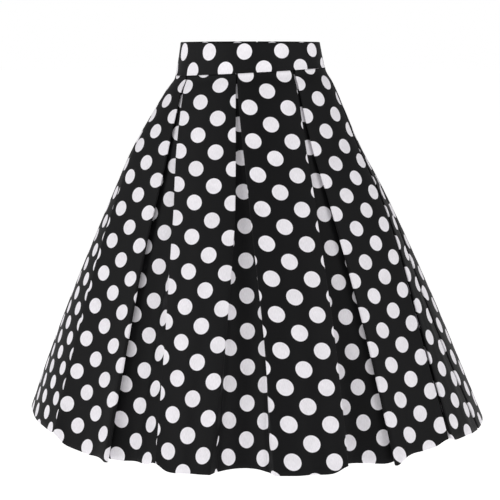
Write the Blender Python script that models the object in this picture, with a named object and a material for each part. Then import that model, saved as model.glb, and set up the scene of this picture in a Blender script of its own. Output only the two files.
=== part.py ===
# A-line midi skirt with inverted box pleats, in metres, +Z up, centre front toward -Y.
# The origin is the centre of the waistband's top edge. The cloth keeps the hollow form it has when worn.
import bpy
import bmesh
import numpy as np

for old in list(bpy.data.objects):
    bpy.data.objects.remove(old, do_unlink=True)

MM = 0.001
SEAM_GAP = 0.3 * MM

# Heights
BAND_HEIGHT = 51.5 * MM
BAND_TILT = 7.5 * MM            # the waist seam sits lower on the wearer's right than on the left
HEM_DROP = 674 * MM             # band top to hem

# Walls
CLOTH = 1.3 * MM
BAND_WALL = 2.6 * MM
BAND_PROUD = 0.35 * MM          # band face stands this far in front of the panels

# Plan of the form at each level: half widths at -X and +X, depths at the front and the back.
# level 0 is the waist seam, 1 the hem
FORM = dict(
    level=(-1.00, -0.26, 0.00, 0.042, 0.207, 0.338, 0.664, 0.842, 1.000),
    left=(122.5, 129.0, 133.0, 149, 207, 243, 329, 371, 405),
    right=(122.5, 129.0, 133.0, 146, 192, 237, 334, 382, 424),
    front=(92.0, 95.0, 97.0, 109, 151, 187, 276, 319, 356),
    back=(92.0, 95.0, 97.0, 106, 140, 168, 240, 276, 308),
)

# Where each pleat's two fold edges lie, in degrees round the form (0 front, positive toward +X)
LEVELS = (0.00, 0.12, 0.25, 0.40, 0.70, 1.00)
EDGES = dict(
    D=((-79.4, -73.2, -67.8, -62.6, -55.4, -50.9), (-78.0, -71.4, -66.0, -61.0, -54.0, -49.6)),
    A=((-51.7, -42.0, -36.7, -34.8, -31.0, -29.0), (-50.3, -37.9, -30.2, -24.6, -19.0, -16.5)),
    B=((-4.6, -2.2, -0.5, 0.5, -0.2, -2.0), (-3.8, 0.3, 4.1, 7.0, 10.7, 11.9)),
    C=((40.0, 37.8, 35.4, 32.9, 30.9, 28.8), (41.4, 40.3, 40.4, 40.8, 41.6, 41.3)),
    E=((88.0, 81.5, 76.0, 71.5, 62.5, 58.0), (89.4, 83.3, 77.8, 73.1, 63.9, 59.2)),
    F=((112.0, 99.5, 90.5, 83.5, 75.0, 77.5), (113.4, 101.3, 92.3, 85.1, 76.4, 78.7)),
)
# The back has three more, spaced evenly between F, the centre-back panel and D
BACK_GAP = (1.4, 3.0, 4.6, 6.6, 10.5, 12.5)
BACK_PANEL = (30.0, 30.5, 31.0, 31.5, 32.5, 33.0)

# Fold kinds, in mm at LEVELS: back = how far the cloth turns back behind the panel,
# depth = how deep the underlay lies, roll and crease = radii of the outer and the inner fold
FOLDS = dict(
    deep=dict(back=(25, 22, 18, 12, 3, -3), depth=(4.4, 6, 10, 16, 32, 44),
              roll=(1.1, 1.1, 1.1, 1.2, 1.5, 1.8), crease=(1.1, 1.5, 2.5, 4, 9, 12)),
    open=dict(back=(20, 19, 16, 5, -20, -36), depth=(4.4, 6, 10, 12, 15, 17),
              roll=(1.1, 1.1, 1.1, 1.2, 1.5, 1.8), crease=(1.1, 1.5, 2.5, 4, 9, 12)),
    centre=dict(back=(25, 22, 18, 12, 2, -6), depth=(4.4, 6, 9, 12, 17, 16),
                roll=(1.1, 1.1, 1.1, 1.2, 1.5, 2), crease=(1.1, 1.5, 2.2, 3, 5, 5)),
    soft=dict(back=(20, 19, 17, 14, 12, 12), depth=(4.4, 6, 8.5, 11.5, 15.5, 17.5),
              roll=(1.1, 1.2, 1.5, 2, 3.4, 4.5), crease=(1.1, 1.2, 1.5, 1.8, 2.3, 2.5)),
    shut=dict(back=(18, 17, 16, 15, 14, 14), depth=(4.4, 6, 8.5, 11.5, 15.5, 17.5),
              roll=(1.1, 1.1, 1.1, 1.3, 1.8, 2.2), crease=(1.1, 1.2, 1.5, 1.8, 2.3, 2.5)),
    narrow=dict(back=(18, 17, 15, 11, 3, -3), depth=(4.4, 6, 9, 14, 25, 33),
                roll=(1.1, 1.1, 1.1, 1.2, 1.5, 1.8), crease=(1.1, 1.5, 2.5, 4, 9, 12)),
)
# One row a pleat, in order round the waist: kind of its first and second edge, and bulge of the underlay's
# middle at the hem, in mm
PLEATS = dict(
    D=dict(first="shut", second="shut", bulge=2),
    A=dict(first="soft", second="open", bulge=3),
    B=dict(first="centre", second="centre", bulge=16),
    C=dict(first="deep", second="soft", bulge=3),
    E=dict(first="shut", second="shut", bulge=2),
    F=dict(first="shut", second="shut", bulge=2),
    G=dict(first="narrow", second="narrow", bulge=8),
    H=dict(first="narrow", second="narrow", bulge=8),
    I=dict(first="narrow", second="narrow", bulge=8),
)
# Fold edges that stand inside the form, or outside it where negative, in mm at LEVELS
TURNS = {
    ("D", "first"): (0, -1, -3, -2, 3, 6),
    ("D", "second"): (0, -3, -7, -7, -2, 0),
    ("A", "second"): (0, 1, 2, 4, 10, 16),
    ("E", "first"): (0, -3, -5, -5.5, -4, -5),
    ("E", "second"): (0, -3, -5, -5.5, -4, -5),
}
# Panels that hang as a shallow hollow between their folds, by the pleat before them, in mm at the hem
HOLLOWS = dict(D=17, A=2, C=10)
ROWS = (0.0, 0.04, 0.09, 0.15, 0.23, 0.32, 0.43, 0.55, 0.67, 0.79, 0.90, 1.0)
PANEL_POINTS = 3                # in the middle of a panel, between two near each fold
ROLL_POINTS = 3
CREASE_POINTS = 3
UNDERLAY_POINTS = 3
LEAST_LAP = 14 * MM

# Hem height against HEM_DROP, in mm, by degrees round
HEM_LINE = dict(angle=(-180, -120, -90, -72, -63, -56, -51.5, -49, -46.5, -43, -38, -32, -27, -22, -19, -15.5, -8, -3, 3,
                       8, 13, 20, 26, 33, 40, 42, 45.5, 52, 57, 62, 67, 78, 90, 130, 180),
                rise=(4, 6, 12, 16, 14, 11, 6, 0, -4, -7, -9, -6, -10, -8.5, -9.5, -13.5, -10, -7, -4,
                      -3, -6, -6.5, -7, -7, -8, -5.5, 4.5, 7.5, 12, 12.5, 11.5, 5, 4, 4, 4))
# The hem's corner lifts at these fold edges, in mm
HEM_LIFTS = {("D", "second"): 13, ("A", "second"): 12, ("C", "first"): 11, ("E", "first"): 8}
LIFT_REACH = 16 * MM

# Zip at centre back
TAPE = dict(half=12 * MM, wall=0.8 * MM, slot=4.2 * MM, gap=0.6 * MM,
            band_rows=(-2, -8, -11.8, -20, -32, -44), skirt_rows=5)
SLIDER = dict(top=-1 * MM, bottom=-11 * MM, half=3.4 * MM, wall=3 * MM, web=0.7 * MM, bail=2.4 * MM, hole=1.2 * MM)
TAB = dict(bar=0.65 * MM, window=1.2 * MM, neck=2.4 * MM, half=2.9 * MM, window_end=3.5 * MM, length=20 * MM)
AXIS_OUT = 4.4 * MM             # tab axis outside the band's middle surface
AXIS_Z = -5 * MM
BACK_OPENING = dict(z=(0, -12, -20, -60), half=(1.1, 1.1, 0.25, 0.15))


def curve(x, knots, values):
    """Smooth curve through a table row, flat beyond its ends."""
    knots, values = np.asarray(knots, float), np.asarray(values, float)
    step = np.diff(knots)
    slope = np.diff(values) / step
    tangent = np.empty_like(values)
    tangent[0], tangent[-1] = slope[0], slope[-1]
    before, after = slope[:-1], slope[1:]
    same = before * after > 0
    near, far = 2 * step[1:] + step[:-1], step[1:] + 2 * step[:-1]
    before, after = np.where(same, before, 1), np.where(same, after, 1)
    tangent[1:-1] = np.where(same, (near + far) / (near / before + far / after), 0)
    x = np.clip(x, knots[0], knots[-1])
    i = np.clip(np.searchsorted(knots, x) - 1, 0, len(knots) - 2)
    h = step[i]
    t = (x - knots[i]) / h
    return ((2 * t**3 - 3 * t**2 + 1) * values[i] + (t**3 - 2 * t**2 + t) * h * tangent[i]
            + (3 * t**2 - 2 * t**3) * values[i + 1] + (t**3 - t**2) * h * tangent[i + 1])


def seam_z(angle):
    return -(BAND_HEIGHT - BAND_TILT * np.sin(np.radians(angle)))


def hem_z(angle):
    turned = (np.asarray(angle, float) + 180) % 360 - 180
    return -HEM_DROP + MM * curve(turned, HEM_LINE["angle"], HEM_LINE["rise"])


class Level:
    """Plan curve of the form at one level, measured along its length."""

    def __init__(self, level):
        self.level = level
        left, right, front, back = (MM * curve(level, FORM["level"], FORM[side])
                                    for side in ("left", "right", "front", "back"))
        self.angle = np.linspace(-180, 540, 2881)
        a = np.radians(self.angle)
        s, c = np.sin(a), np.cos(a)
        self.xy = np.stack([np.where(s > 0, right, left) * s, -np.where(c > 0, front, back) * c], 1)
        run = np.linalg.norm(np.diff(self.xy, axis=0), axis=1)
        self.length = np.concatenate([[0], np.cumsum(run)])
        tangent = np.gradient(self.xy, self.length, axis=0)
        tangent /= np.linalg.norm(tangent, axis=1)[:, None]
        self.inward = np.stack([-tangent[:, 1], tangent[:, 0]], 1)

    def along(self, angle):
        return np.interp(angle, self.angle, self.length)

    def place(self, along, depth):
        """Points `depth` metres inside the form, `along` metres round it."""
        along, depth = np.asarray(along, float), np.asarray(depth, float)
        pick = [np.interp(along, self.length, column) for column in (*self.xy.T, *self.inward.T)]
        angle = np.interp(along, self.length, self.angle)
        top, bottom = seam_z(angle), hem_z(angle)
        if self.level < 0:
            z = top * (1 + self.level)
        else:
            z = top + (bottom - top) * self.level
        return np.stack([pick[0] + depth * pick[2], pick[1] + depth * pick[3], z], 1)


def pleat_edges(level):
    """Fold edge angles of all nine pleats at one level, in order round the waist from D."""
    rows = {name: [curve(level, LEVELS, side) for side in sides] for name, sides in EDGES.items()}
    gap, panel = curve(level, LEVELS, BACK_GAP), curve(level, LEVELS, BACK_PANEL)
    near, far = 180 - panel / 2, 180 + panel / 2
    rows["G"] = [near - gap, near]
    last = rows["D"][0] + 360
    half = (last - far - 2 * gap) / 2
    rows["H"] = [far, far + gap]
    rows["I"] = [far + gap + half, last - half]
    return rows


def fold(kind, level, reach, turn):
    """Points of one side of a pleat, from the panel inward, as (distance from the pleat's middle, depth),
    and the lap behind the panel."""
    back, depth, roll, crease = (MM * curve(level, LEVELS, FOLDS[kind][name])
                                 for name in ("back", "depth", "roll", "crease"))
    depth = depth + turn
    while True:
        outer = np.array([reach + roll, turn + roll])
        inner = np.array([reach + back - crease, depth - crease])
        away = inner - outer
        span = np.hypot(*away)
        if span > 1.03 * (roll + crease):
            break
        roll, crease = roll * 0.9, crease * 0.9
    heading = np.arctan2(away[0], away[1]) + np.arccos(-(roll + crease) / span)
    a = np.linspace(0, heading, ROLL_POINTS)[:, None]
    b = np.linspace(heading, 0, CREASE_POINTS)[:, None]
    a = outer - roll * np.hstack([np.sin(a), np.cos(a)])
    b = inner + crease * np.hstack([np.sin(b), np.cos(b)])
    return np.concatenate([a, [(a[-1] + b[0]) / 2], b]), max(back, LEAST_LAP) - roll


def section(level):
    """Middle line of the whole skirt at one level, and where each seam's two edges are in it."""
    form = Level(level)
    edges = pleat_edges(level)
    order = list("DABCEFGHI")
    sides, middles, laps, lifts = {}, {}, {}, []
    for name in order:
        row = PLEATS[name]
        start, end = form.along(edges[name][0]), form.along(edges[name][1])
        middles[name] = (start + end) / 2
        reach = max((end - start) / 2, CLOTH / 2 + 0.3 * MM)
        pair = []
        for edge in ("first", "second"):
            turn = MM * curve(level, LEVELS, TURNS.get((name, edge), (0,) * 6))
            if (name, edge) in HEM_LIFTS:
                lifts.append((middles[name] + reach * (-1 if edge == "first" else 1), turn, HEM_LIFTS[name, edge]))
            pair.append(fold(row[edge], level, reach, turn))
        sides[name], laps[name] = [side for side, _ in pair], [lap for _, lap in pair]
    along, depth, cuts = [], [], {}
    whole = form.along(360) - form.along(0)
    for i, name in enumerate(order):
        middle = middles[name]
        first, second = sides[name]
        down, up = first * (-1, 1), second[::-1]
        s = np.linspace(0, 1, UNDERLAY_POINTS + 2)[1:-1]
        flat = down[-1, 0] + (up[0, 0] - down[-1, 0]) * s
        deep = (down[-1, 1] + (up[0, 1] - down[-1, 1]) * s * s * (3 - 2 * s)
                + row_bulge(name, level) * 4 * s * (1 - s))
        if name in "DE":
            split = UNDERLAY_POINTS // 2
            cuts[name] = len(along) + len(down) + split
            flat = np.insert(flat, split, flat[split])
            deep = np.insert(deep, split, deep[split])
            flat[split] -= SEAM_GAP * 0.6
            flat[split + 1] += SEAM_GAP * 0.6
        points = np.concatenate([down, np.stack([flat, deep], 1), up])
        along += list(middle + points[:, 0])
        depth += list(points[:, 1])
        after = order[(i + 1) % len(order)]
        start = along[-1]
        end = middles[after] - sides[after][0][0, 0] + (whole if after == "D" else 0)
        turn_in, turn_out = depth[-1], sides[after][0][0, 1]
        lap, next_lap = laps[name][1] / (end - start), 1 - laps[after][0] / (end - start)
        f = np.linspace(lap, next_lap, PANEL_POINTS + 2)
        f = np.concatenate([[lap / 2], f, [(1 + next_lap) / 2]])
        if name == "G":
            half = MM * curve(-form_z(level), [-z * MM for z in BACK_OPENING["z"]], BACK_OPENING["half"])
            beside = np.array([-1, 0, 0, 1]) * 1.15 * TAPE["half"]
            f = np.concatenate([f[:2], (form.along(180) - start + beside) / (end - start), f[-2:]])
            cuts["back"] = len(along) + 3
        flat = start + (end - start) * f
        if name == "G":
            flat[3] -= max(half, SEAM_GAP / 2)
            flat[4] += max(half, SEAM_GAP / 2)
        hollow = HOLLOWS.get(name, 0) * MM * level**2 * 4 * f * (1 - f)
        along += list(flat)
        depth += list(turn_in * (1 - f) + turn_out * f + hollow)
    along, depth = np.array(along), np.array(depth)
    points = form.place(along, depth)
    for edge, turn, lift in lifts:
        points[:, 2] += lift * MM * level**8 * np.exp(-((along - edge)**2 + (depth - turn)**2) / LIFT_REACH**2)
    return points, cuts


def row_bulge(name, level):
    return PLEATS[name]["bulge"] * MM * level**1.5


def form_z(level):
    return -BAND_HEIGHT - (HEM_DROP - BAND_HEIGHT) * level


def outward(points):
    """Horizontal offset direction at each point of a closed line, long enough at corners to keep the wall."""
    flat = points[:, :2]
    ahead, behind = np.roll(flat, -1, 0) - flat, flat - np.roll(flat, 1, 0)
    sides = []
    for run in (ahead, behind):
        run = run / np.linalg.norm(run, axis=1)[:, None]
        sides.append(np.stack([run[:, 1], -run[:, 0]], 1))
    mean = sides[0] + sides[1]
    mean /= np.linalg.norm(mean, axis=1)[:, None]
    corner = np.clip(np.sum(mean * sides[0], 1), 0.6, 1)
    return np.hstack([mean / corner[:, None], np.zeros((len(flat), 1))])


def shell(name, outer, inner, material, skip=()):
    """Closed wall between two grids of points [row][column], leaving out the cells named in skip."""
    rows, columns = len(outer), len(outer[0])
    cells = {(r, c) for r in range(rows - 1) for c in range(columns - 1)} - set(skip)
    mesh = bmesh.new()
    made = {}

    def vertex(face, r, c):
        if (face, r, c) not in made:
            made[face, r, c] = mesh.verts.new((outer if face else inner)[r][c])
        return made[face, r, c]

    for r, c in cells:
        ring = [(r, c), (r + 1, c), (r + 1, c + 1), (r, c + 1)]
        mesh.faces.new([vertex(1, *p) for p in ring])
        mesh.faces.new([vertex(0, *p) for p in reversed(ring)])
        for (p, q), beside in zip(zip(ring, ring[1:] + ring[:1]),
                                  ((r, c - 1), (r + 1, c), (r, c + 1), (r - 1, c))):
            if beside not in cells:
                mesh.faces.new([vertex(1, *q), vertex(1, *p), vertex(0, *p), vertex(0, *q)])
    return finish(name, mesh, material)


def finish(name, mesh, material, smooth=True):
    bmesh.ops.recalc_face_normals(mesh, faces=mesh.faces[:])
    for face in mesh.faces:
        face.smooth = smooth
    data = bpy.data.meshes.new(name)
    mesh.to_mesh(data)
    mesh.free()
    made = bpy.data.objects.new(name, data)
    bpy.context.scene.collection.objects.link(made)
    data.materials.append(material)
    return made


def material(name, colour, roughness, metallic=0.0):
    made = bpy.data.materials.new(name)
    made.use_nodes = True
    shader = made.node_tree.nodes["Principled BSDF"]
    shader.inputs["Base Color"].default_value = (*colour, 1)
    shader.inputs["Roughness"].default_value = roughness
    shader.inputs["Metallic"].default_value = metallic
    return made


def build_skirt():
    """Front and two back pieces, cut from one line of points a level."""
    middle, out, cuts = [], [], None
    for level in ROWS:
        line, cuts = section(level)
        if level == 0:
            line[:, 2] -= SEAM_GAP / 2
        away = outward(line)
        for cut in cuts.values():
            away[cut:cut + 2] = away[cut:cut + 2].mean(0)
        middle.append(line)
        out.append(away)
    middle, out = np.array(middle), np.array(out)
    count = middle.shape[1]
    spans = dict(
        skirt_front=(cuts["D"] + 1, cuts["E"]),
        skirt_back_left=(cuts["E"] + 1, cuts["back"]),
        skirt_back_right=(cuts["back"] + 1, count + cuts["D"]),
    )
    made = []
    for name, (first, last) in spans.items():
        pick = np.arange(first, last + 1) % count
        line, away = middle[:, pick], out[:, pick]
        made.append(shell(name, line + away * CLOTH / 2, line - away * CLOTH / 2,
                          material(name + "_cloth", (0.012, 0.012, 0.014), 0.75)))
    return made


def build_band():
    """Waistband front and two backs, split at the sides and at centre back."""
    spans = dict(waistband_front=(-78.7, 88.7, 24), waistband_back_left=(88.7, 180, 14),
                 waistband_back_right=(180, 281.3, 14))
    drops = (0, 0.115, 0.225, 0.38, 0.62, 1)
    made = []
    for name, (first, last, columns) in spans.items():
        outer, inner = [], []
        for drop in drops:
            form = Level(drop - 1)
            z = -BAND_HEIGHT * drop
            opening = MM * curve(-z / MM, [-v for v in BACK_OPENING["z"]], BACK_OPENING["half"])
            start, end = form.along(first), form.along(last)
            start += opening if first == 180 else SEAM_GAP / 2
            end -= opening if last == 180 else SEAM_GAP / 2
            along = np.linspace(start, end, columns)
            face = form.place(along, np.full(columns, -CLOTH / 2 - BAND_PROUD))
            back = form.place(along, np.full(columns, BAND_WALL - CLOTH / 2 - BAND_PROUD))
            if drop == 1:
                face[:, 2] += SEAM_GAP / 2
                back[:, 2] += SEAM_GAP / 2
            outer.append(face)
            inner.append(back)
        made.append(shell(name, outer, inner, material(name + "_cloth", (0.012, 0.012, 0.014), 0.75)))
    return made


def back_middle(z, depth, across):
    """Points across the centre back at height z, `depth` inside the form."""
    seam, hem = seam_z(180), hem_z(180)
    form = Level(z / -seam - 1) if z > seam else Level((seam - z) / (seam - hem))
    line = form.place(form.along(180) + across, np.full(len(across), depth))
    line[:, 2] = z
    return line


def build_tape():
    across = np.array([-TAPE["half"], -TAPE["half"] * 0.6, -TAPE["slot"], TAPE["slot"],
                       TAPE["half"] * 0.6, TAPE["half"]])
    in_band = BAND_WALL - CLOTH / 2 - BAND_PROUD + TAPE["gap"]
    in_skirt = CLOTH / 2 + TAPE["gap"]
    outer, inner = [], []
    rows = [z * MM for z in TAPE["band_rows"]]
    rows += [form_z(level) for level in ROWS[:TAPE["skirt_rows"]]]
    for z in rows:
        depth = in_band if z > form_z(ROWS[1]) + MM else in_skirt
        outer.append(back_middle(z, depth, across))
        inner.append(back_middle(z, depth + TAPE["wall"], across))
    slot = [(r, 2) for r, z in enumerate(TAPE["band_rows"]) if z > -11]
    return shell("zip_tape", outer, inner, material("zip_tape_woven", (0.015, 0.015, 0.017), 0.6), slot)


def extrude(name, outline, hole, half, place, look):
    """Flat plate with one hole, from matching outlines, `half` thick to each side. place turns (u, v, w) to x, y, z."""
    mesh = bmesh.new()
    rings = [[mesh.verts.new(place(u, v, w)) for u, v in loop] for w in (half, -half) for loop in (outline, hole)]
    count = len(outline)
    for i in range(count):
        j = (i + 1) % count
        for a, b in ((0, 1), (1, 3), (3, 2), (2, 0)):
            mesh.faces.new([rings[a][i], rings[a][j], rings[b][j], rings[b][i]])
    return finish(name, mesh, look, smooth=False)


def build_slider():
    look = material("zip_slider_metal", (0.02, 0.02, 0.022), 0.3, 0.9)
    middle = float(MM * curve(AXIS_Z / BAND_HEIGHT * -1 - 1, FORM["level"], FORM["back"]))
    axis_y = middle + AXIS_OUT
    count = 24
    ring = [2 * np.pi * (i + 0.5) / count for i in range(count)]
    inner_y = middle - 4 * MM
    outline = []
    for a in ring:
        u, v = SLIDER["bail"] * np.cos(a), SLIDER["bail"] * np.sin(a)
        outline.append((u, v) if u > 0 else (inner_y - axis_y if abs(a - np.pi) < 1.2 else u * 0.0,
                                             SLIDER["bail"] * np.sign(v) if abs(a - np.pi) >= 1.2
                                             else SLIDER["bail"] * np.clip((np.pi - a) / 1.2, -1, 1)))
    hole = [(SLIDER["hole"] * np.cos(a), SLIDER["hole"] * np.sin(a)) for a in ring]
    web = extrude("zip_slider", outline, hole, SLIDER["web"],
                  lambda u, v, w: (w, axis_y + u, AXIS_Z + v), look)
    top_middle = float(MM * curve(SLIDER["top"] / -BAND_HEIGHT - 1, FORM["level"], FORM["back"]))
    face = top_middle - BAND_WALL + CLOTH / 2 + BAND_PROUD - 0.4 * MM
    height = SLIDER["top"] - SLIDER["bottom"]
    mesh = bmesh.new()
    bmesh.ops.create_cube(mesh, size=1)
    for v in mesh.verts:
        v.co = (v.co.x * 2 * SLIDER["half"], face + (v.co.y - 0.5) * SLIDER["wall"],
                SLIDER["bottom"] + (v.co.z + 0.5) * height)
    bmesh.ops.bevel(mesh, geom=mesh.edges[:], offset=0.8 * MM, segments=2, affect="EDGES", profile=0.5)
    body = finish("slider_body", mesh, look, smooth=False)
    join = web.modifiers.new("body", "BOOLEAN")
    join.operation, join.solver, join.object = "UNION", "EXACT", body
    body.hide_render = True
    body.display_type = "WIRE"
    return web, axis_y


def build_tab(axis_y):
    """Flat pull with a window whose top bar passes through the slider's eye. It hangs straight down."""
    look = material("zip_pull_metal", (0.02, 0.02, 0.022), 0.3, 0.9)
    bar, neck, half = TAB["bar"], TAB["neck"], TAB["half"]
    end, length, window = TAB["window_end"], TAB["length"], TAB["window"]
    side = [(neck, bar), (neck, -bar), (neck, -end), (half, -end * 1.9), (half, -length * 0.6),
            (half, -length + half), (half * 0.8, -length + half * 0.4), (half * 0.3, -length)]
    gap = [(window, -bar), (window, -bar * 2), (window, -end * 0.6), (window, -end * 0.8), (window, -end * 0.9),
           (window, -end), (window * 0.6, -end), (window * 0.2, -end)]
    outline = side + [(-u, v) for u, v in reversed(side)]
    hole = gap + [(-u, v) for u, v in reversed(gap)]
    tab = extrude("zip_pull_tab", outline, hole, bar, lambda u, v, w: (u, w, v), look)
    tab.location = (0, axis_y, AXIS_Z)
    return tab


build_skirt()
build_band()
build_tape()
slider, tab_y = build_slider()
build_tab(tab_y)
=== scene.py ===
import bmesh
import bpy
import mathutils
import numpy as np
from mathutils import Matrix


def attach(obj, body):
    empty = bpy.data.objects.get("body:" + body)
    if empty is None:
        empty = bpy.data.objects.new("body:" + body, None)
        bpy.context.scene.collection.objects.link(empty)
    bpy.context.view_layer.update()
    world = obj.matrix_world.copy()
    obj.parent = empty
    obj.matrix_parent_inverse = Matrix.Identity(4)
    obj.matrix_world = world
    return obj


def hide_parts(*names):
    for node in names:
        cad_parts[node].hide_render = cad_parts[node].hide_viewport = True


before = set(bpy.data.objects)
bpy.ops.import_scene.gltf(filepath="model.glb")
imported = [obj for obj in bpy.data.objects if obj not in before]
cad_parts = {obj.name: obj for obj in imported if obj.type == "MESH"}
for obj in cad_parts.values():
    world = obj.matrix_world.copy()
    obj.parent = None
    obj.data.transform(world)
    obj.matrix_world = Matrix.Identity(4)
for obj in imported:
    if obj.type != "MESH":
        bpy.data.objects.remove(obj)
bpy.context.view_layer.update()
mm = 0.001

# Half widths and depths of the worn skirt in mm, by level: 0 is the waist seam, 1 the hem
form = {
    "level": (-1.00, -0.26, 0.00, 0.042, 0.207, 0.338, 0.664, 0.842, 1.000),
    "left": (122.5, 129.0, 133.0, 149, 207, 243, 329, 371, 405),
    "right": (122.5, 129.0, 133.0, 146, 192, 237, 334, 382, 424),
    "front": (92.0, 95.0, 97.0, 109, 151, 187, 276, 319, 356),
    "back": (92.0, 95.0, 97.0, 106, 140, 168, 240, 276, 308),
    "bandHeight": 51.5,
    "bandTilt": 7.5,
    "hemDrop": 674,
    "hemAngle": (-180, -120, -90, -72, -63, -56, -51.5, -49, -46.5, -43, -38, -32, -27, -22, -19, -15.5,
                 -8, -3, 3, 8, 13, 20, 26, 33, 40, 42, 45.5, 52, 57, 62, 67, 78, 90, 130, 180),
    "hemRise": (4, 6, 12, 16, 14, 11, 6, 0, -4, -7, -9, -6, -10, -8.5, -9.5, -13.5, -10, -7, -4, -3, -6,
                -6.5, -7, -7, -8, -5.5, 4.5, 7.5, 12, 12.5, 11.5, 5, 4, 4, 4),
    "liftReach": 16,            # mm round a lifted corner of the hem
    "sway": 1.3,                # mm that the panels ripple at the hem
    "ripples": ((1.5, 0.21, 1.0), (2.6, 0.47, 0.6)),    # waves across a panel, shift from panel to panel, share
}

# Fold edges of the pleats in degrees round the form at these levels, front at 0, positive to the wearer's left
pleats = {
    "level": (0.00, 0.12, 0.25, 0.40, 0.70, 1.00),
    "D": ((-79.4, -73.2, -67.8, -62.6, -55.4, -50.9), (-78.0, -71.4, -66.0, -61.0, -54.0, -49.6)),
    "A": ((-51.7, -42.0, -36.7, -34.8, -31.0, -29.0), (-50.3, -37.9, -30.2, -24.6, -19.0, -16.5)),
    "B": ((-4.6, -2.2, -0.5, 0.5, -0.2, -2.0), (-3.8, 0.3, 4.1, 7.0, 10.7, 11.9)),
    "C": ((40.0, 37.8, 35.4, 32.9, 30.9, 28.8), (41.4, 40.3, 40.4, 40.8, 41.6, 41.3)),
    "E": ((88.0, 81.5, 76.0, 71.5, 62.5, 58.0), (89.4, 83.3, 77.8, 73.1, 63.9, 59.2)),
    "F": ((112.0, 99.5, 90.5, 83.5, 75.0, 77.5), (113.4, 101.3, 92.3, 85.1, 76.4, 78.7)),
    "backGap": (1.4, 3.0, 4.6, 6.6, 10.5, 12.5),
    "backPanel": (30.0, 30.5, 31.0, 31.5, 32.5, 33.0),
}

# How each kind of fold lies, in mm at the pleats' levels
folds = {
    "deep": {"back": (25, 22, 18, 12, 3, -3), "depth": (4.4, 6, 10, 16, 32, 44),
             "roll": (1.1, 1.1, 1.1, 1.2, 1.5, 1.8), "crease": (1.1, 1.5, 2.5, 4, 9, 12)},
    "open": {"back": (20, 19, 16, 5, -20, -36), "depth": (4.4, 6, 10, 12, 15, 17),
             "roll": (1.1, 1.1, 1.1, 1.2, 1.5, 1.8), "crease": (1.1, 1.5, 2.5, 4, 9, 12)},
    "centre": {"back": (25, 22, 18, 12, 2, -6), "depth": (4.4, 6, 9, 12, 17, 16),
               "roll": (1.1, 1.1, 1.1, 1.2, 1.5, 2), "crease": (1.1, 1.5, 2.2, 3, 5, 5)},
    "soft": {"back": (20, 19, 17, 14, 12, 12), "depth": (4.4, 6, 8.5, 11.5, 15.5, 17.5),
             "roll": (1.1, 1.2, 1.5, 2, 3.4, 4.5), "crease": (1.1, 1.2, 1.5, 1.8, 2.3, 2.5)},
    "shut": {"back": (18, 17, 16, 15, 14, 14), "depth": (4.4, 6, 8.5, 11.5, 15.5, 17.5),
             "roll": (1.1, 1.1, 1.1, 1.3, 1.8, 2.2), "crease": (1.1, 1.2, 1.5, 1.8, 2.3, 2.5)},
    "narrow": {"back": (18, 17, 15, 11, 3, -3), "depth": (4.4, 6, 9, 14, 25, 33),
               "roll": (1.1, 1.1, 1.1, 1.2, 1.5, 1.8), "crease": (1.1, 1.5, 2.5, 4, 9, 12)},
}
# First and second edge of each pleat, and bulge of its underlay at the hem, in mm
pleatKinds = {
    "D": ("shut", "shut", 2),
    "A": ("soft", "open", 3),
    "B": ("centre", "centre", 16),
    "C": ("deep", "soft", 3),
    "E": ("shut", "shut", 2),
    "F": ("shut", "shut", 2),
    "G": ("narrow", "narrow", 8),
    "H": ("narrow", "narrow", 8),
    "I": ("narrow", "narrow", 8),
}
pleatOrder = list("DABCEFGHI")
# Edges that stand inside the form, or outside it where negative, in mm at the pleats' levels
turns = {
    ("D", 0): (0, -1, -3, -2, 3, 6),
    ("D", 1): (0, -3, -7, -7, -2, 0),
    ("A", 1): (0, 1, 2, 4, 10, 16),
    ("E", 0): (0, -3, -5, -5.5, -4, -5),
    ("E", 1): (0, -3, -5, -5.5, -4, -5),
}
lifts = {("D", 1): 13, ("A", 1): 12, ("C", 0): 11, ("E", 0): 8}     # mm that the hem's corner rises there
hollows = {"D": 17, "A": 2, "C": 10}    # panels that hang as a shallow hollow, by the pleat before them, mm

cloth = {
    "thickness": 0.7,           # mm
    "leastReach": 0.95,         # from a shut pleat's middle to its edges, mm
    "rows": 96,
    "rowSpread": 1.15,          # above 1 the rows stand closer toward the waist
    "rollPoints": 8,
    "returnPoints": 5,
    "creasePoints": 7,
    "underlayPoints": 12,
    "panelPoints": 22,
    "hemTurn": 22,              # mm turned up inside
    "hemGap": 1.3,              # between the cloth and its turned hem, mm
    "zipDown": (0, 12, 20, 60),             # mm below the band's top edge
    "zipGap": (1.1, 1.1, 0.25, 0.15),       # half the opening over the zip there, mm
}
seamGap = 0.3 * mm


def curve(x, knots, values):
    # smooth curve through a table row, flat beyond its ends
    knots, values = np.asarray(knots, float), np.asarray(values, float)
    step = np.diff(knots)
    slope = np.diff(values) / step
    tangent = np.empty_like(values)
    tangent[0], tangent[-1] = slope[0], slope[-1]
    before, after = slope[:-1], slope[1:]
    same = before * after > 0
    near, far = 2 * step[1:] + step[:-1], step[1:] + 2 * step[:-1]
    before, after = np.where(same, before, 1), np.where(same, after, 1)
    tangent[1:-1] = np.where(same, (near + far) / (near / before + far / after), 0)
    x = np.clip(x, knots[0], knots[-1])
    i = np.clip(np.searchsorted(knots, x) - 1, 0, len(knots) - 2)
    h = step[i]
    t = (x - knots[i]) / h
    return ((2 * t**3 - 3 * t**2 + 1) * values[i] + (t**3 - 2 * t**2 + t) * h * tangent[i]
            + (3 * t**2 - 2 * t**3) * values[i + 1] + (t**3 - t**2) * h * tangent[i + 1])


def seamHeight(angle):
    return -mm * (form["bandHeight"] - form["bandTilt"] * np.sin(np.radians(angle)))


def hemHeight(angle):
    turned = (np.asarray(angle, float) + 180) % 360 - 180
    return -mm * form["hemDrop"] + mm * curve(turned, form["hemAngle"], form["hemRise"])


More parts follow.
